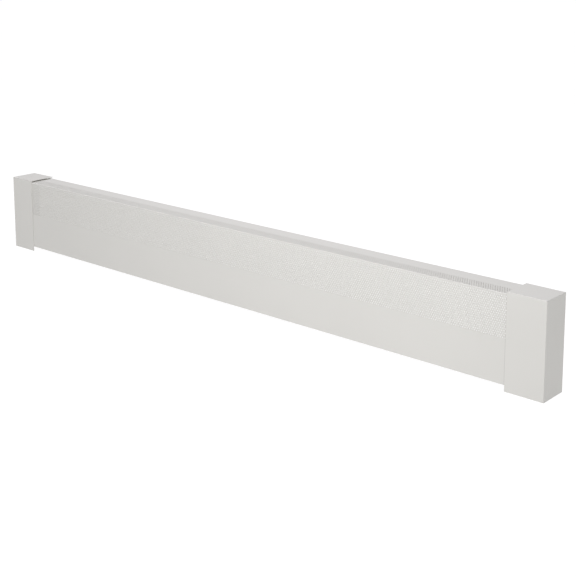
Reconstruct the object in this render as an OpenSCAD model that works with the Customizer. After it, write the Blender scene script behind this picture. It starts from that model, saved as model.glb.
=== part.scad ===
// Hydronic baseboard heater: a folded steel cover with two slip-on end caps over a
// copper tube with aluminium fins, carried by a low frame that is fixed to the wall.
// X runs along the heater, -Y is the room side, +Y the wall, and Z = 0 is the floor.

/* [Overall size] */
// Length over both end caps
overall_l = 2007; // [1950:1:2300]
// Depth from the wall to the front of the end caps
overall_d = 88; // [88:1:96]
// Height of the end caps above the floor
overall_h = 240; // [238:1:260]

/* [Cover panel] */
// Thickness of the painted sheet steel
sheet_t = 1.2; // [0.9:0.1:1.2]
// Outer radius of the folds in the painted sheet
fold_r = 2; // [1.5:0.1:2.5]
// Height of the air gap under the panel
air_gap = 14.5; // [10:0.5:20]
// Step down from the top of the end caps to the top of the panel
top_step = 5.5; // [4:0.5:6]
// Step back from the front of the end caps to the front of the panel
front_step = 1.6; // [1.6:0.1:2]
// Height of the flat hem along the lower edge
hem_h = 12; // [8:1:16]
// Height of the flange that hooks behind the wall rail
hook_h = 14; // [10:1:14]

/* [End caps] */
// Width of each end cap
cap_w = 102; // [96:1:104]
// Length of panel that each cap covers
overlap = 13; // [10:1:16]
// Width of the return flange along the wall
return_w = 22; // [14:1:22]
// Height of the spring clips
clip_h = 16; // [10:1:24]

/* [Wall frame] */
// Thickness of the hanger and end plate steel
frame_t = 1.5; // [1.2:0.1:2]
// Width of each element hanger
hanger_w = 16; // [14:1:24]
// Centre distance of neighbouring hangers
hanger_pitch = 580; // [560:1:585]
// Top of the back plate above the floor
plate_top = 90; // [88:1:92]
// Radius of the wall screw holes
screw_r = 2.5; // [2:0.1:3]

/* [Heating element] */
// Outer radius of the copper tube
tube_r = 11.1; // [10:0.1:11.1]
// Wall of the copper tube
tube_t = 1.1; // [0.8:0.1:1.2]
// Height of the tube's centre line above the floor
tube_z = 68; // [67:0.5:70]
// Distance of the tube's centre line behind the middle of the heater
tube_y = 4; // [2:0.5:5]
// Side of each square fin
fin_side = 56; // [50:1:57]
// Fins in each pack
fin_count = 48; // [20:1:50]
// Distance from one fin to the next
fin_pitch = 11.4; // [8:0.1:11.4]

/* [Hidden] */
$fn = 48;

// The caps set the outside of the heater
half_l = overall_l / 2;
front_y = -overall_d / 2;
wall_y = overall_d / 2;
cap_in = half_l - cap_w;

// The panel sits inside the caps and hangs on the rail
panel_l = 2 * (cap_in + overlap);
panel_y = front_y + front_step;
panel_top = overall_h - top_step;
hook_y = wall_y - 0.2;
beyond = 50;

// The wall rail: a base on the wall, a jog outwards and an upright lip
rail_lip_top = panel_top - 3.5;
rail_jog_z = panel_top - hook_h - 1.3 - sheet_t;
rail_base_z = rail_jog_z - 9;
rail_lip_y = wall_y - 4.6;
pad_gap = 0.3;
frame_half = half_l - 34;
rail_holes = [300, 900];
plate_holes = [150, 620];
plate_low = 18;
plate_hole_z = 70;

// Hangers stand on the floor behind the panel's sight line and carry the tube
hangers = [for (i = [0 : 3]) (i - 1.5) * hanger_pitch];
leg_y = wall_y - sheet_t - frame_t;
foot_y = 15;
arm_z = 36;
lip_y = panel_y + 4.5;
lip_top = 64;
rivet_r = 2;
rivet_z = [26, 80];
glide_w = 14;
glide_d = 28;
glide_gap = 0.3;

// Elbows turn the tube down to the floor
bend_r = 22;
elbow_x = half_l - 67;
socket_l = 18;
socket_t = 1.4;
stub_x = elbow_x + bend_r;
stub_low = 3;
bead_h = 1.5;
vent_r = 6.5;
vent_end = stub_x + 9.5;
bleed_r = 2.5;

module box(a, b) translate(a) cube(b - a);

// A rectangle from corner a to corner b with round corners
module soft_rect(a, b, r) {
    translate([a.x + r, a.y]) square([b.x - a.x - 2 * r, b.y - a.y]);
    translate([a.x, a.y + r]) square([b.x - a.x, b.y - a.y - 2 * r]);
    for (x = [a.x + r, b.x - r], y = [a.y + r, b.y - r]) translate([x, y]) circle(r);
}

// A closed ring of sheet, folded round a rectangle
module folded_ring(a, b) difference() {
    soft_rect(a, b, fold_r);
    soft_rect(a + [sheet_t, sheet_t], b - [sheet_t, sheet_t], fold_r - sheet_t);
}

// Pushes a section drawn in Y and Z along X, from x0 to x1
module along_x(x0, x1)
    translate([x0, 0, 0]) rotate([90, 0, 90]) linear_extrude(x1 - x0) children();

module rod_x(x0, x1, r) translate([x0, 0, 0]) rotate([0, 90, 0]) cylinder(h = x1 - x0, r = r);
module rod_y(y0, y1, r) translate([0, y0, 0]) rotate([-90, 0, 0]) cylinder(h = y1 - y0, r = r);

// Puts the children on the right, or mirrors them to the left
module at_side(side) mirror([side < 0 ? 1 : 0, 0, 0]) children();

module rail_section() {
    translate([wall_y - sheet_t, rail_base_z])
        square([sheet_t, rail_jog_z + sheet_t - rail_base_z]);
    translate([rail_lip_y, rail_jog_z]) square([wall_y - rail_lip_y, sheet_t]);
    translate([rail_lip_y, rail_jog_z]) square([sheet_t, rail_lip_top - rail_jog_z]);
}

module mounting_rail() color("silver") difference() {
    along_x(-frame_half, frame_half) rail_section();
    for (x = rail_holes, s = [-1, 1])
        translate([s * x, 0, rail_base_z + 4.5]) rod_y(0, beyond, screw_r);
}

module back_plate() color("silver") difference() {
    box([-frame_half, wall_y - sheet_t, plate_low], [frame_half, wall_y, plate_top]);
    for (x = plate_holes, s = [-1, 1])
        translate([s * x, 0, plate_hole_z]) rod_y(0, beyond, screw_r);
    for (x = hangers, z = rivet_z) translate([x, 0, z]) rod_y(0, beyond, rivet_r);
}

// A plate across each end of the frame joins the back plate to the rail
module end_plate(side) color("silver") at_side(side)
    along_x(frame_half, frame_half + frame_t) difference() {
        polygon([[foot_y, 0], [wall_y, 0], [wall_y, rail_base_z + 9], [rail_lip_y, rail_lip_top],
                 [foot_y + 5, rail_lip_top], [foot_y + 5, 30], [foot_y, 24]]);
        polygon([[wall_y + 1, plate_top], [wall_y - 10, plate_top + 8],
                 [wall_y - 10, rail_base_z - 8], [wall_y + 1, rail_base_z]]);
    }

// A bent strip: wall leg, floor foot, element arm and a front lip
module hanger(i) color("lightgray") translate([hangers[i], 0, 0]) difference() {
    along_x(-hanger_w / 2, hanger_w / 2) {
        translate([leg_y, 0]) square([frame_t, plate_top - 2]);
        translate([foot_y, 0]) square([leg_y + frame_t - foot_y, frame_t]);
        translate([lip_y, arm_z]) square([leg_y + frame_t - lip_y, frame_t]);
        translate([lip_y, arm_z]) square([frame_t, lip_top - arm_z]);
    }
    for (z = rivet_z) translate([0, 0, z]) rod_y(0, beyond, rivet_r);
}

module hanger_rivets() color("gray") for (x = hangers, z = rivet_z) translate([x, 0, z]) {
    rod_y(leg_y, wall_y, rivet_r);
    rod_y(leg_y - 1.4, leg_y, 2 * rivet_r);
}

// A moulded saddle that clips over the arm and lets the hot tube slide
module glide(i) color("ivory") translate([hangers[i], tube_y, 0]) {
    difference() {
        box([-glide_w / 2, -glide_d / 2, arm_z + frame_t], [glide_w / 2, glide_d / 2, tube_z - 3]);
        translate([0, 0, tube_z]) rod_x(-glide_w, glide_w, tube_r + glide_gap);
    }
    for (s = [-1, 1]) mirror([s < 0 ? 1 : 0, 0, 0]) {
        box([hanger_w / 2, -6, arm_z - 2], [hanger_w / 2 + 1.5, 6, arm_z + frame_t + 4]);
        box([glide_w / 2, -6, arm_z + frame_t], [hanger_w / 2, 6, arm_z + frame_t + 4]);
    }
}

// Rubber blocks on the front lips, just behind the panel
module front_pads() color("dimgray") for (x = hangers)
    box([x - 6, lip_y - 1.7, lip_top - 18], [x + 6, lip_y, lip_top - 4]);

// Rubber saddles over the lip, which the top of the panel rests on
module rail_pads() color("dimgray") for (x = [-800 : 400 : 800]) translate([x, 0, 0])
    along_x(-10, 10) difference() {
        translate([rail_lip_y - 1, rail_lip_top - 6])
            square([sheet_t + 2, 6 + 3.5 - sheet_t - pad_gap]);
        rail_section();
    }

module element_tube() color("peru") translate([0, tube_y, tube_z]) difference() {
    rod_x(-elbow_x + 4, elbow_x - 4, tube_r);
    rod_x(-half_l, half_l, tube_r - tube_t);
}

// Square plates on touching collars, pressed on the tube between two hangers
module fin_pack(i) color("gainsboro")
    translate([(i - 1) * hanger_pitch, tube_y, tube_z]) difference() {
        union() {
            for (n = [0 : fin_count - 1]) translate([(n - (fin_count - 1) / 2) * fin_pitch, 0, 0])
                cube([0.5, fin_side, fin_side], center = true);
            rod_x(-fin_count * fin_pitch / 2, fin_count * fin_pitch / 2, tube_r + 0.9);
        }
        rod_x(-fin_count * fin_pitch, fin_count * fin_pitch, tube_r);
    }

// The quarter turn from the end of the tube down to the stub
module quarter_turn(r) translate([elbow_x, tube_y, tube_z - bend_r])
    rotate([90, 0, 0]) rotate_extrude(angle = 90) translate([bend_r, 0]) circle(r);

module elbow_sockets(r, l) {
    translate([0, tube_y, tube_z]) rod_x(elbow_x - l, elbow_x, r);
    translate([stub_x, tube_y, tube_z - bend_r - l]) cylinder(h = l, r = r);
}

module elbow_bores() {
    quarter_turn(tube_r - tube_t);
    elbow_sockets(tube_r - tube_t, socket_l + 1);
    difference() {
        elbow_sockets(tube_r, socket_l + 1);
        elbow_sockets(tube_r + 1, 4);
    }
}

module supply_elbow() color("peru") at_side(-1) difference() {
    union() {
        quarter_turn(tube_r + 1.2);
        elbow_sockets(tube_r + socket_t, socket_l);
    }
    elbow_bores();
}

// The return elbow has a threaded boss for the bleed screw
module vent_elbow() color("peru") difference() {
    union() {
        quarter_turn(tube_r + 1.2);
        elbow_sockets(tube_r + socket_t, socket_l);
        translate([0, tube_y, tube_z]) rod_x(elbow_x + 4, vent_end, vent_r);
    }
    elbow_bores();
    translate([0, tube_y, tube_z]) {
        rod_x(vent_end - 12, vent_end + 1, bleed_r + 0.05);
        rod_x(elbow_x, vent_end, 1.5);
    }
}

// A straight pipe end, with a bead of solder round the mouth of the elbow's socket
module stub(side) color("peru") at_side(side) translate([stub_x, tube_y, 0]) difference() {
    union() {
        translate([0, 0, stub_low])
            cylinder(h = tube_z - bend_r - 4 - stub_low, r = tube_r);
        translate([0, 0, tube_z - bend_r - socket_l - bead_h]) cylinder(h = bead_h, r = tube_r + 1);
    }
    cylinder(h = tube_z, r = tube_r - tube_t);
}

module bleed_screw() color("goldenrod") translate([0, tube_y, tube_z]) difference() {
    union() {
        rod_x(vent_end - 9, vent_end + 1, bleed_r);
        rod_x(vent_end + 0.3, vent_end + 4.3, 5.5);
    }
    box([vent_end + 2.8, -6, -0.6], [vent_end + 5, 6, 0.6]);
}

module panel_section() {
    difference() {
        folded_ring([panel_y, air_gap - beyond], [hook_y, panel_top]);
        translate([panel_y - 1, air_gap - beyond - 1])
            square([overall_d, beyond + sheet_t + 1]);
        translate([panel_y + sheet_t, air_gap])
            square([overall_d, panel_top - hook_h - air_gap]);
    }
    translate([panel_y + sheet_t, air_gap + sheet_t]) circle(sheet_t);
    translate([panel_y + sheet_t, air_gap + sheet_t]) square([sheet_t, hem_h - sheet_t]);
}

module cover_panel() color("whitesmoke") along_x(-panel_l / 2, panel_l / 2) panel_section();

// Front, side and return flange are one folded strip, closed by the top
module end_cap(side) color("whitesmoke") at_side(side) {
    difference() {
        linear_extrude(overall_h)
            folded_ring([cap_in - beyond, front_y], [half_l, wall_y]);
        box([cap_in - beyond - 1, front_y - 1, -1], [cap_in, wall_y + 1, overall_h + 1]);
        box([cap_in - 1, 0, -1], [half_l - return_w, wall_y + 1, overall_h + 1]);
    }
    translate([0, 0, overall_h - sheet_t]) linear_extrude(sheet_t) difference() {
        soft_rect([cap_in - beyond, front_y], [half_l, wall_y], fold_r);
        translate([cap_in - beyond - 1, front_y - 1]) square([beyond + 1, overall_d + 2]);
    }
}

// Two spring leaves in each cap trap the edge of the panel
module cap_clips(side) color("gray") at_side(side) for (z = [60, 180]) {
    leaf_y = panel_y + sheet_t + 0.3;
    heel_x = cap_in + overlap + 12;
    box([cap_in + 1.5, leaf_y, z], [heel_x + 10, leaf_y + 1, z + clip_h]);
    box([heel_x, front_y + sheet_t, z], [heel_x + 10, leaf_y + 1, z + clip_h]);
}

back_plate();
mounting_rail();
end_plate(-1);  // left_end_plate
end_plate(1);  // right_end_plate
for (i = [0 : 3]) hanger(i);
hanger_rivets();
for (i = [0 : 3]) glide(i);
front_pads();
rail_pads();
element_tube();
for (i = [0 : 2]) fin_pack(i);
supply_elbow();
vent_elbow();
stub(-1);  // supply_stub
stub(1);  // return_stub
bleed_screw();
cover_panel();
end_cap(-1);  // left_end_cap
end_cap(1);  // right_end_cap
cap_clips(-1);  // left_cap_clips
cap_clips(1);  // right_cap_clips
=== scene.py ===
import math

import bmesh
import bpy
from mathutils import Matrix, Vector


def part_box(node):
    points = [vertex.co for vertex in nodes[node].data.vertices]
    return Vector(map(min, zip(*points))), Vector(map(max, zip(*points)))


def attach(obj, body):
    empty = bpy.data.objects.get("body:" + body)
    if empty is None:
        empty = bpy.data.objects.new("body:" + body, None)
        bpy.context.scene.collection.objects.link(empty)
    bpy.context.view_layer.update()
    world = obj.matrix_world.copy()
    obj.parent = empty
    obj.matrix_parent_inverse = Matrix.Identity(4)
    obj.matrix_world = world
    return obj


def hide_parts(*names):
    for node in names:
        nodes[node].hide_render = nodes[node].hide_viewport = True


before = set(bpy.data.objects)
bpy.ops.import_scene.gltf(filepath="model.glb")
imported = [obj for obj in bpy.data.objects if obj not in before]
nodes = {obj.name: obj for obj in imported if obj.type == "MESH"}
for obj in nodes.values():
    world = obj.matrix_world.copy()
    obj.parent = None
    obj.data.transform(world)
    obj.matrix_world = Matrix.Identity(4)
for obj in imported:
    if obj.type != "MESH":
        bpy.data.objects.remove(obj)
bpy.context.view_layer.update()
scene = bpy.context.scene


# ---------------------------------------------------------------- wall frame
# A low back plate, a lipped rail and two end plates, all cut and folded from
# galvanised sheet and screwed to the wall. The spangle is the zinc's crystals.

class Wire:
    """A socket of a finish. Arithmetic on wires adds Math nodes."""

    def __init__(self, finish, socket):
        self.finish = finish
        self.socket = socket

    def math(self, operation, first, second):
        return self.finish.node("Math", {"operation": operation}, {0: first, 1: second})

    def __add__(self, other):
        return self.math("ADD", self, other)

    def __radd__(self, other):
        return self.math("ADD", other, self)

    def __sub__(self, other):
        return self.math("SUBTRACT", self, other)

    def __rsub__(self, other):
        return self.math("SUBTRACT", other, self)

    def __mul__(self, other):
        return self.math("MULTIPLY", self, other)

    def __rmul__(self, other):
        return self.math("MULTIPLY", other, self)


class Finish:
    """One procedural material around a Principled shader, in the object's own metres."""

    def __init__(self, name, **fixed):
        self.material = bpy.data.materials.new(name)
        self.material.use_nodes = True
        self.tree = self.material.node_tree
        self.shader = self.tree.nodes["Principled BSDF"]
        self.place = self.node("TexCoord", out="Object")
        self.shade(**fixed)

    def feed(self, socket, value):
        if isinstance(value, Wire):
            self.tree.links.new(value.socket, socket)
        else:
            socket.default_value = value

    def node(self, kind, settings=None, values=None, out=0):
        """Adds a node: its settings first, then the values or wires of its sockets."""
        made = self.tree.nodes.new("ShaderNode" + kind)
        for name, value in (settings or {}).items():
            setattr(made, name, value)
        for socket, value in (values or {}).items():
            self.feed(made.inputs[socket], value)
        return Wire(self, made.outputs[out])

    def stretched(self, along=(1, 1, 1)):
        """The object's own coordinates in metres, scaled along each axis."""
        return self.node("VectorMath", {"operation": "MULTIPLY"}, {0: self.place, 1: along})

    def noise(self, scale, along=(1, 1, 1), detail=3.0):
        return self.node("TexNoise", None,
                         {"Vector": self.stretched(along), "Scale": scale, "Detail": detail})

    def remap(self, value, from_low, from_high, to_low, to_high):
        """Maps one range on another and holds what lies outside it at the ends."""
        return self.node("MapRange", None,
                         {"Value": value, "From Min": from_low, "From Max": from_high,
                          "To Min": to_low, "To Max": to_high})

    def spread(self, value, low, high):
        """Maps the middle of a 0 to 1 value, where noise mostly lies, on low to high."""
        return self.remap(value, 0.3, 0.7, low, high)

    def blend(self, share, colour_a, colour_b):
        """A colour Mix node: its colours are sockets 6 and 7, and its result is output 2."""
        return self.node("Mix", {"data_type": "RGBA"},
                         {0: share, 6: colour_a, 7: colour_b}, out=2)

    def bump(self, height, distance, strength=1.0):
        return self.node("Bump", None,
                         {"Height": height, "Distance": distance, "Strength": strength})

    def distance_from(self, x):
        """How far a point is from the plane at x."""
        across = self.node("SeparateXYZ", None, {0: self.place})
        return self.node("Math", {"operation": "ABSOLUTE"}, {0: across - x})

    def shade(self, **feeds):
        """Feeds the shader's sockets, each named with an underscore for every space."""
        for socket, value in feeds.items():
            self.feed(self.shader.inputs[socket.replace("_", " ")], value)
        return self.material


def rgba(red, green, blue):
    return (red, green, blue, 1.0)


def dress(material, *names):
    """Gives carried-over CAD nodes their material."""
    for name in names:
        mesh = nodes[name].data
        mesh.materials.clear()
        mesh.materials.append(material)


def galvanised_finish():
    zinc = Finish("galvanised", Metallic=1.0)
    crystals = zinc.node("TexVoronoi", None, {"Vector": zinc.stretched(), "Scale": 110.0},
                         out="Color")
    shade = zinc.node("SeparateColor", None, {0: crystals})
    bloom = zinc.noise(14)
    grey = zinc.blend(shade * 0.55 + bloom * 0.35,
                      rgba(0.27, 0.28, 0.30), rgba(0.60, 0.61, 0.63))
    return zinc.shade(Base_Color=grey, Roughness=0.34 + shade * 0.16,
                      Normal=zinc.bump(zinc.noise(900), 0.00004))


dress(galvanised_finish(), "back_plate", "mounting_rail", "left_end_plate", "right_end_plate")


# ---------------------------------------------------------------- hangers and rivets
# Four hangers bent from zinc-plated strip stand on the floor and carry the tube
# on their arms. Two steel rivets hold each of them to the back plate.

def strip_finish(name, dark, bright, along, rough):
    """Drawn or rolled metal: long streaks in the rolling direction over fine scratches."""
    metal = Finish(name, Metallic=1.0)
    streak = metal.noise(60, along)
    cloud = metal.noise(18)
    mix = metal.spread(streak, 0.1, 0.7) + metal.spread(cloud, 0.0, 0.3)
    return metal.shade(Base_Color=metal.blend(mix, dark, bright),
                       Roughness=rough + metal.spread(streak, -0.05, 0.08),
                       Normal=metal.bump(streak + metal.noise(1500) * 0.4, 0.00003))


hanger_zinc = strip_finish("zinc_strip", rgba(0.40, 0.42, 0.45), rgba(0.70, 0.71, 0.72),
                           (12, 1, 1), 0.32)
rivet_steel = strip_finish("rivet_steel", rgba(0.33, 0.34, 0.36), rgba(0.60, 0.60, 0.61),
                           (6, 6, 6), 0.28)
dress(hanger_zinc, "hanger_1", "hanger_2", "hanger_3", "hanger_4")
dress(rivet_steel, "hanger_rivets")


# ---------------------------------------------------------------- glides and pads
# Nylon saddles hold the hot tube and let it slide without ticking. Black rubber
# blocks keep the panel from rattling on the hangers and on the rail.

def moulded_finish(name, colour, tint, grain, rough):
    """Moulded plastic or rubber: a fine grain with a slight mottle."""
    mould = Finish(name)
    mottle = mould.noise(45)
    return mould.shade(Base_Color=mould.blend(mould.spread(mottle, 0.0, 1.0), colour, tint),
                       Roughness=rough + mould.spread(mottle, -0.04, 0.06),
                       Normal=mould.bump(mould.noise(grain, detail=2.0), 0.00006))


nylon = moulded_finish("nylon", rgba(0.80, 0.78, 0.70), rgba(0.88, 0.86, 0.80), 1200, 0.42)
pad_rubber = moulded_finish("pad_rubber", rgba(0.015, 0.015, 0.016), rgba(0.035, 0.034, 0.033),
                            1800, 0.70)
dress(nylon, "glide_1", "glide_2", "glide_3", "glide_4")
dress(pad_rubber, "front_pads", "rail_pads")


# ---------------------------------------------------------------- copper tube
# 3/4 in drawn copper, sweated into two elbows that turn it down to the floor.
# The metal is dull and brown in clouds, and brighter along the drawing lines.

def copper_finish():
    copper = Finish("copper", Metallic=1.0)
    lines = copper.noise(90, (0.03, 1, 1))
    tarnish = copper.spread(copper.noise(22, detail=5.0), 0.0, 0.75)
    clean = copper.blend(lines, rgba(0.62, 0.30, 0.18), rgba(0.82, 0.46, 0.31))
    return copper.shade(Base_Color=copper.blend(tarnish, clean, rgba(0.33, 0.16, 0.10)),
                        Roughness=0.26 + tarnish * 0.25,
                        Normal=copper.bump(lines, 0.00003))


dress(copper_finish(), "element_tube", "supply_elbow", "vent_elbow", "supply_stub", "return_stub")


# ---------------------------------------------------------------- bleed screw
# A turned brass screw with a slotted head, in the boss of the vent elbow.

def brass_finish():
    brass = Finish("turned_brass", Metallic=1.0)
    rings = brass.noise(500, (1, 0.02, 0.02))
    cloud = brass.noise(120)
    colour = brass.blend(cloud, rgba(0.60, 0.42, 0.16), rgba(0.86, 0.66, 0.32))
    return brass.shade(Base_Color=colour,
                       Roughness=0.22 + brass.spread(cloud, 0.0, 0.15),
                       Normal=brass.bump(rings, 0.00003))


dress(brass_finish(), "bleed_screw")


# ---------------------------------------------------------------- fin packs
# Thin square aluminium fins, pressed on the tube with drawn collars. Their side
# edges are folded over by a few millimetres, which makes each pack a row of flues.

FIN_PITCH = 0.0057
FIN_SHEET = 0.0004
FIN_CORNER = 0.94
FIN_EDGE = 0.0042
COLLAR_SIDES = 20
COLLAR_REACH = 0.0046
COLLAR_PLAY = 0.0001
FIN_SET_BACK = 0.002

tube_low, tube_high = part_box("element_tube")
tube_axis = ((tube_low.y + tube_high.y) / 2, (tube_low.z + tube_high.z) / 2)
collar_r = (tube_high.y - tube_low.y) / 2 + COLLAR_PLAY


def fin_finish():
    fin = Finish("fin_aluminium", Metallic=0.7)
    rolled = fin.noise(130, (1, 1, 0.05))
    darkening = fin.spread(fin.noise(30, detail=4.0), 0.0, 0.4)
    grey = fin.blend(darkening, rgba(0.80, 0.81, 0.83), rgba(0.58, 0.57, 0.54))
    return fin.shade(Base_Color=grey, Roughness=0.34 + darkening * 0.4,
                     Normal=fin.bump(rolled, 0.00003))


def add_fin(mesh, x, half):
    """A square plate with a round collar and two folded side edges, all one thickness."""
    turn = [2 * math.pi * (k + 0.5) / COLLAR_SIDES for k in range(COLLAR_SIDES)]

    def ring(at, radius):
        return [mesh.verts.new(at + Vector((0, radius * math.cos(a), radius * math.sin(a))))
                for a in turn]

    def square(at):
        """Points on the plate's outline, one for each point of the collar's ring."""
        points = []
        for a in turn:
            reach = half / max(abs(math.cos(a)), abs(math.sin(a)))
            y = reach * math.cos(a)
            z = reach * math.sin(a)
            corner = FIN_CORNER * half
            if abs(y) > corner and abs(z) > corner:
                y = math.copysign(half, y)
                z = math.copysign(corner, z)
            points.append(mesh.verts.new(at + Vector((0, y, z))))
        return points

    def bridge(loop_a, loop_b):
        for k in range(COLLAR_SIDES):
            n = (k + 1) % COLLAR_SIDES
            mesh.faces.new((loop_a[k], loop_a[n], loop_b[n], loop_b[k]))

    front = Vector((x, *tube_axis))
    back = front + Vector((FIN_SHEET, 0, 0))
    lip = front + Vector((COLLAR_REACH, 0, 0))
    outer = [square(front), square(back)]
    inner = [ring(front, collar_r), ring(back, collar_r + FIN_SHEET)]
    mouth = [ring(lip, collar_r), ring(lip, collar_r + FIN_SHEET)]
    bridge(inner[0], outer[0])
    bridge(outer[0], outer[1])
    bridge(outer[1], inner[1])
    bridge(inner[1], mouth[1])
    bridge(mouth[1], mouth[0])
    bridge(mouth[0], inner[0])
    for side in (-1, 1):
        edge = tube_axis[0] + side * half
        corners = [Vector((x + dx, edge - side * dy, tube_axis[1] + dz))
                   for dx in (FIN_SHEET * 0.5, FIN_EDGE) for dy in (0, FIN_SHEET)
                   for dz in (-half, half)]
        block = [mesh.verts.new(c) for c in corners]
        for face in ((0, 1, 3, 2), (4, 6, 7, 5), (0, 4, 5, 1),
                     (2, 3, 7, 6), (0, 2, 6, 4), (1, 5, 7, 3)):
            mesh.faces.new([block[k] for k in face])


def as_object(name, mesh, closed=True):
    """Turns a bmesh into an object. A closed one gets its faces turned outwards."""
    if closed:
        bmesh.ops.recalc_face_normals(mesh, faces=mesh.faces)
    data = bpy.data.meshes.new(name)
    mesh.to_mesh(data)
    mesh.free()
    made = bpy.data.objects.new(name, data)
    scene.collection.objects.link(made)
    return made


fins_metal = fin_finish()
for number in (1, 2, 3):
    low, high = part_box(f"fin_pack_{number}")
    count = int((high.x - low.x) / FIN_PITCH)
    start = (low.x + high.x - (count - 1) * FIN_PITCH) / 2 - FIN_SET_BACK
    mesh = bmesh.new()
    for place in range(count):
        add_fin(mesh, start + place * FIN_PITCH, (high.y - low.y) / 2)
    fins = as_object(f"fins_{number}", mesh)
    fins.data.materials.append(fins_metal)
    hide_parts(f"fin_pack_{number}")
    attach(fins, "element")


# ---------------------------------------------------------------- cover panel
# One strip of sheet steel, punched flat and then folded: a flat hem, the front,
# the top and a flange that hooks behind the rail. It is powder-coated off-white.
# Both bands of holes are on 1/4 in staggered centres, and the top's are larger.

SHEET = 0.0012
FOLD_R = 0.002
HEM_R = 0.0013
HEM_HEIGHT = 0.012
HOOK_HEIGHT = 0.014

FRONT_HOLE_R = 0.0014
FRONT_ROWS = 19
FRONT_MARGIN = 0.005
TOP_HOLE_R = 0.0018
TOP_ROWS = 7
TOP_MARGIN = 0.0022
HOLE_SIDES = 8
HOLE_PITCH = 0.00635
ROW_PITCH = HOLE_PITCH * math.sqrt(3) / 2

# A plain row has a point at every 11th column. A fine row has one at each of them, and
# lies three quarters of a row from the nearest holes.
COARSE = 11
FINE_MARGIN = 0.75

# A thin painted shade line on the panel just beside the right cap's edge, where the cap's step
# would shade it: its darkest share, its half width and its distance from the cap.
SHADE_LINE_SHARE = 0.32
SHADE_LINE_WIDTH = 0.0011
SHADE_LINE_FROM_CAP = 0.00165


def enamel_finish(name, warm, shade_line_x=None):
    """Satin powder coat: a faint orange peel, slightly uneven gloss, and, where a line is given,
    a thin painted shade line along it.
    """
    paint = Finish(name)
    cloud = paint.spread(paint.noise(3.5, detail=4.0), 0.0, 1.0)
    peel = paint.noise(420, detail=2.0)
    speck = paint.noise(2600, detail=1.0)
    colour = paint.blend(cloud, warm, rgba(*[0.975 * c for c in warm[:3]]))
    if shade_line_x:
        # Painted shade: darkest at the given x, fading to nothing at the half width on each side.
        darkening = paint.remap(paint.distance_from(shade_line_x), 0, SHADE_LINE_WIDTH, SHADE_LINE_SHARE, 0)
        colour = paint.blend(darkening, colour, rgba(0.20, 0.19, 0.17))
    height = peel + speck * 0.25
    return paint.shade(Base_Color=colour, Roughness=0.42 + cloud * 0.05 + peel * 0.06,
                       Normal=paint.bump(height, 0.00005, 0.6))


def straight(start, end, inward, spots):
    """Rows along a straight run. Each spot is (share of the run, kind of row)."""
    return [(start.lerp(end, share), inward, kind) for share, kind in spots]


def bend(centre, radius, first, last, steps=7):
    """Plain rows round a fold, without its two ends."""
    rows = []
    for step in range(1, steps):
        a = math.radians(first + (last - first) * step / steps)
        out = Vector((math.cos(a), math.sin(a)))
        rows.append((centre + radius * out, -out, "plain"))
    return rows


def punched(start, end, inward, first, count):
    """A straight run with rows of holes, the first at a distance from its start."""
    length = (end - start).length
    before = first - FINE_MARGIN * ROW_PITCH
    spots = [(0, "plain"), (before / length, "fine")] if before > 0 else [(0, "fine")]
    spots += [((first + k * ROW_PITCH) / length, "holes") for k in range(count)]
    spots += [((first + (count - 1 + FINE_MARGIN) * ROW_PITCH) / length, "fine"), (1, "plain")]
    return straight(start, end, inward, spots)


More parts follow.
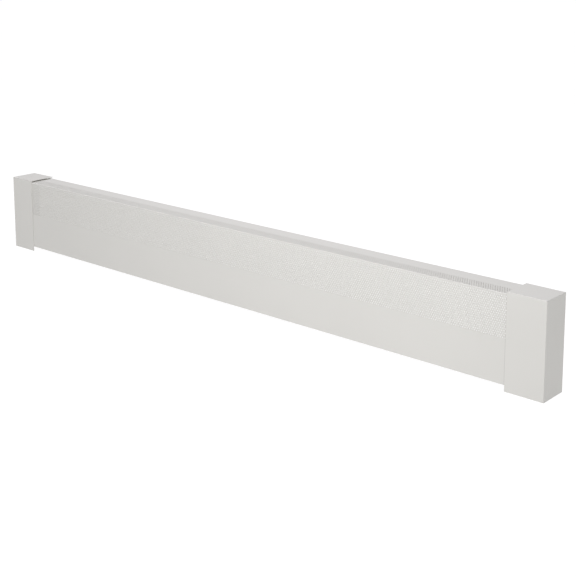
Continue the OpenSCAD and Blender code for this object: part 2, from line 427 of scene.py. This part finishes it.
class Sheet:
    """A folded sheet: rows of points in X on two faces, joined to each other and round the rim.

    A hole is a ring of eight points. 7 and 0 face the next hole, 1 and 2 the next row,
    3 and 4 the hole before it, 5 and 6 the row before it.
    """

    def __init__(self, half_length, hole_r):
        self.mesh = bmesh.new()
        self.half_length = half_length
        self.hole_r = hole_r
        self.last = 2 * int((half_length - hole_r) / HOLE_PITCH)
        self.rows = []

    def column_x(self, column, shift):
        if column == 0:
            return -self.half_length
        if column == self.last:
            return self.half_length
        return (column + shift - self.last / 2) * HOLE_PITCH

    def add_row(self, place, inward, kind, shift):
        """Adds a row's points. A hole is a ring of points, anything else is one point."""
        along = Vector((-inward.y, inward.x))
        turn = [2 * math.pi * (k + 0.5) / HOLE_SIDES for k in range(HOLE_SIDES)]
        ring = [Vector((math.cos(a), math.sin(a))) * self.hole_r for a in turn]
        faces = []
        for depth in (0, SHEET):
            row = {}
            for column in range(self.last + 1):
                edge = column in (0, self.last)
                if kind == "plain" and column % COARSE and not edge:
                    continue
                hole = kind == "holes" and not edge
                x = self.column_x(column, shift if hole else 0)
                spots = [(x + r.x, place + along * r.y) for r in ring] if hole else [(x, place)]
                made = [self.mesh.verts.new((sx, *(at + inward * depth))) for sx, at in spots]
                row[column] = made if hole else made * HOLE_SIDES
            faces.append(row)
        self.rows.append((faces, kind, shift))

    def face(self, *points):
        """A face without the points that fall together, or none if too few are left."""
        kept = [p for n, p in enumerate(points) if p is not points[n - 1]]
        if len(kept) > 2 and len(set(kept)) == len(kept):
            self.mesh.faces.new(kept)

    def span(self, low, high):
        """Joins two rows of which at least one has few points."""
        stops = sorted(set(low) & set(high))
        for a, b in zip(stops, stops[1:]):
            under = [low[c][0] for c in range(a, b + 1) if c in low]
            over = [high[c][0] for c in range(b, a - 1, -1) if c in high]
            self.face(*under, *over)

    def weave(self, low, high, high_leads):
        """Joins two rows of the staggered lattice, with four faces to a column."""
        for c in range(self.last):
            apex = high[c] if high_leads else high[c + 1]
            foot = low[c + 1] if high_leads else low[c]
            self.face(low[c][0], low[c + 1][3], apex[6], apex[5])
            self.face(foot[1], high[c + 1][4], high[c][7], foot[2])
            self.face(low[c][0], apex[5], apex[4], low[c][1])
            self.face(foot[2], high[c][7], high[c][6], foot[3])

    def join_rows(self):
        for (low, low_kind, _), (high, high_kind, high_shift) in zip(self.rows, self.rows[1:]):
            for side in (0, 1):
                if "plain" in (low_kind, high_kind):
                    self.span(low[side], high[side])
                else:
                    self.weave(low[side], high[side], high_shift > 0)
            for c in (0, self.last):
                self.face(low[0][c][0], high[0][c][0], high[1][c][0], low[1][c][0])

    def close_holes(self):
        """Closes the strips between neighbours in a row, and lines each hole."""
        for (outer, inner), kind, _ in self.rows:
            if kind != "holes":
                continue
            for side in (outer, inner):
                for c in range(self.last):
                    self.face(side[c][7], side[c + 1][4], side[c + 1][3], side[c][0])
            for c in range(1, self.last):
                for k in range(HOLE_SIDES):
                    self.face(outer[c][k - 1], outer[c][k], inner[c][k], inner[c][k - 1])

    def close_edges(self):
        """Closes the sheet's first and last edge across its thickness."""
        for (outer, inner), _, _ in (self.rows[0], self.rows[-1]):
            columns = sorted(outer)
            for a, b in zip(columns, columns[1:]):
                self.face(outer[a][0], outer[b][0], inner[b][0], inner[a][0])

    def build(self, name, rows):
        """Every second row of holes moves half a pitch along."""
        shifted = False
        for place, inward, kind in rows:
            shifted = kind == "holes" and not shifted
            self.add_row(place, inward, kind, 0.5 if shifted else 0)
        self.join_rows()
        self.close_holes()
        self.close_edges()
        return as_object(name, self.mesh)


# The panel's painted shade line lies just beside the right cap's edge.
cap_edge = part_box("right_end_cap")[0].x
enamel = enamel_finish("panel_enamel", rgba(0.715, 0.703, 0.672), cap_edge - SHADE_LINE_FROM_CAP)

low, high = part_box("cover_panel")
front_y, back_y = low.y, high.y
foot_z, top_z = low.z, high.z
towards_wall, towards_room, down = Vector((1, 0)), Vector((-1, 0)), Vector((0, -1))
hem_tip = Vector((front_y + 2 * HEM_R, foot_z + HEM_HEIGHT))
front_foot = Vector((front_y, foot_z + HEM_R))
front_head = Vector((front_y, top_z - FOLD_R))
top_front = Vector((front_y + FOLD_R, top_z))
top_back = Vector((back_y - FOLD_R, top_z))
hook_head = Vector((back_y, top_z - FOLD_R))
hook_tip = Vector((back_y, top_z - HOOK_HEIGHT))

front_rows = straight(hem_tip, hem_tip - Vector((0, HEM_HEIGHT - HEM_R)), towards_room,
                      [(0, "plain"), (1, "plain")])
front_rows += bend(front_foot + Vector((HEM_R, 0)), HEM_R, 0, -180, 10)
first_row = front_head.y - front_foot.y - FRONT_MARGIN - (FRONT_ROWS - 1) * ROW_PITCH
front_rows += punched(front_foot, front_head, towards_wall, first_row, FRONT_ROWS)
front_rows += bend(front_head + Vector((FOLD_R, 0)), FOLD_R, 180, 90)
front_rows += straight(top_front, top_back, down, [(0, "plain")])

top_rows = punched(top_front, top_back, down, TOP_MARGIN, TOP_ROWS)
top_rows += bend(top_back - Vector((0, FOLD_R)), FOLD_R, 90, 0)
top_rows += straight(hook_head, hook_tip, towards_room, [(0, "plain"), (1, "plain")])

for name, rows, hole_r in (("panel_front", front_rows, FRONT_HOLE_R),
                           ("panel_top", top_rows, TOP_HOLE_R)):
    piece = Sheet(high.x, hole_r).build(name, rows)
    piece.data.materials.append(enamel)
    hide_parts("cover_panel")
    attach(piece, "cover")


# ---------------------------------------------------------------- end caps
# Each cap is folded from one blank of the same coated steel: front, top, outer
# side and a narrow return along the wall. It slips over the end of the panel.

RETURN_WIDTH = 0.022
CAP_SHEET = 0.0015
CAP_FOLD_R = 0.0016
cap_enamel = enamel_finish("cap_enamel", rgba(0.715, 0.703, 0.672))


def folded_cap(name, side, low, high):
    """Four flat faces with round folds between them, thickened inwards."""
    outer = high.x if side > 0 else low.x
    inner = low.x if side > 0 else high.x
    near_return = outer - side * RETURN_WIDTH
    mesh = bmesh.new()

    def corner(x, y, z):
        return mesh.verts.new((x, y, z))

    front = [corner(inner, low.y, 0), corner(outer, low.y, 0),
             corner(outer, low.y, high.z), corner(inner, low.y, high.z)]
    back = [corner(outer, high.y, 0), corner(outer, high.y, high.z),
            corner(near_return, high.y, high.z), corner(near_return, high.y, 0)]
    rear_inner = corner(inner, high.y, high.z)
    mesh.faces.new(front)
    mesh.faces.new((front[1], back[0], back[1], front[2]))
    mesh.faces.new(back)
    mesh.faces.new((front[3], front[2], back[1], back[2], rear_inner))
    bmesh.ops.recalc_face_normals(mesh, faces=mesh.faces)
    folds = [e for e in mesh.edges if len(e.link_faces) == 2]
    bmesh.ops.bevel(mesh, geom=folds, offset=CAP_FOLD_R, offset_type="OFFSET", segments=6,
                    profile=0.5, affect="EDGES", clamp_overlap=True)
    if sum(f.normal.dot(f.calc_center_median() - Vector((inner, 0, 0))) for f in mesh.faces) < 0:
        bmesh.ops.reverse_faces(mesh, faces=mesh.faces)
    cap = as_object(name, mesh, closed=False)
    wall = cap.modifiers.new("sheet", "SOLIDIFY")
    wall.thickness = CAP_SHEET
    wall.offset = -1
    wall.use_even_offset = True
    return cap


for side, word in ((-1, "left"), (1, "right")):
    cap = folded_cap(f"{word}_cap_shell", side, *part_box(f"{word}_end_cap"))
    cap.data.materials.append(cap_enamel)
    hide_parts(f"{word}_end_cap")
    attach(cap, f"{word}_cap")

clip_spring = strip_finish("spring_steel", rgba(0.16, 0.17, 0.20), rgba(0.38, 0.39, 0.42),
                           (1, 1, 14), 0.30)
dress(clip_spring, "left_cap_clips", "right_cap_clips")


# ---------------------------------------------------------------- studio
# A plain pale floor that glows softly like a light table, under an even white
# sky, with a broad light from the room side and a soft one from above.

FLOOR_HALF = 60.0
mesh = bmesh.new()
bmesh.ops.create_grid(mesh, x_segments=1, y_segments=1, size=FLOOR_HALF)
floor = as_object("floor", mesh)
floor_paint = Finish("floor_paint", Roughness=0.9, Emission_Strength=0.97)
floor.data.materials.append(floor_paint.shade(Base_Color=rgba(0.09, 0.09, 0.09),
                                              Emission_Color=rgba(1, 1, 1)))

# The sky looks white, and lights the heater less than that, so its end stays in shade.
SKY_SEEN = 1.0
SKY_LIGHT = 0.23
world = bpy.data.worlds.new("white_room")
world.use_nodes = True
sky = world.node_tree
ray = sky.nodes.new("ShaderNodeLightPath")
level = sky.nodes.new("ShaderNodeMapRange")
level.inputs["To Min"].default_value = SKY_LIGHT
level.inputs["To Max"].default_value = SKY_SEEN
sky.links.new(ray.outputs["Is Camera Ray"], level.inputs["Value"])
sky.nodes["Background"].inputs["Color"].default_value = rgba(1, 1, 1)
sky.links.new(level.outputs[0], sky.nodes["Background"].inputs["Strength"])
scene.world = world


def lamp(name, power, place, target, width, depth, colour=(1, 1, 1)):
    """A rectangular soft light, turned to a target. The camera doesn't see its panel."""
    data = bpy.data.lights.new(name, "AREA")
    data.shape = "RECTANGLE"
    data.size = width
    data.size_y = depth
    data.energy = power
    data.color = colour
    made = bpy.data.objects.new(name, data)
    made.location = place
    made.rotation_euler = (Vector(target) - Vector(place)).to_track_quat("-Z", "Y").to_euler()
    made.visible_camera = False
    scene.collection.objects.link(made)


lamp("overhead", 45.5, (-0.15, -0.1, 1.9), (-0.15, 0, 0), 4, 1.6, (0.97, 0.965, 1.0))
lamp("room_side", 5.15, (0.6, -1.3, 0.5), (0.6, 0, 0.12), 1.0, 0.6)

lens = bpy.data.cameras.new("camera")
lens.sensor_width = 36
lens.lens = 70
lens.shift_y = -0.28
lens.clip_end = 200
camera = bpy.data.objects.new("camera", lens)
camera.location = (2.1484, -2.2173, 1.0295)
camera.rotation_euler = (math.radians(90 - 9.44), 0, math.radians(41.34))
scene.collection.objects.link(camera)
scene.camera = camera
scene.view_settings.view_transform = "Standard"
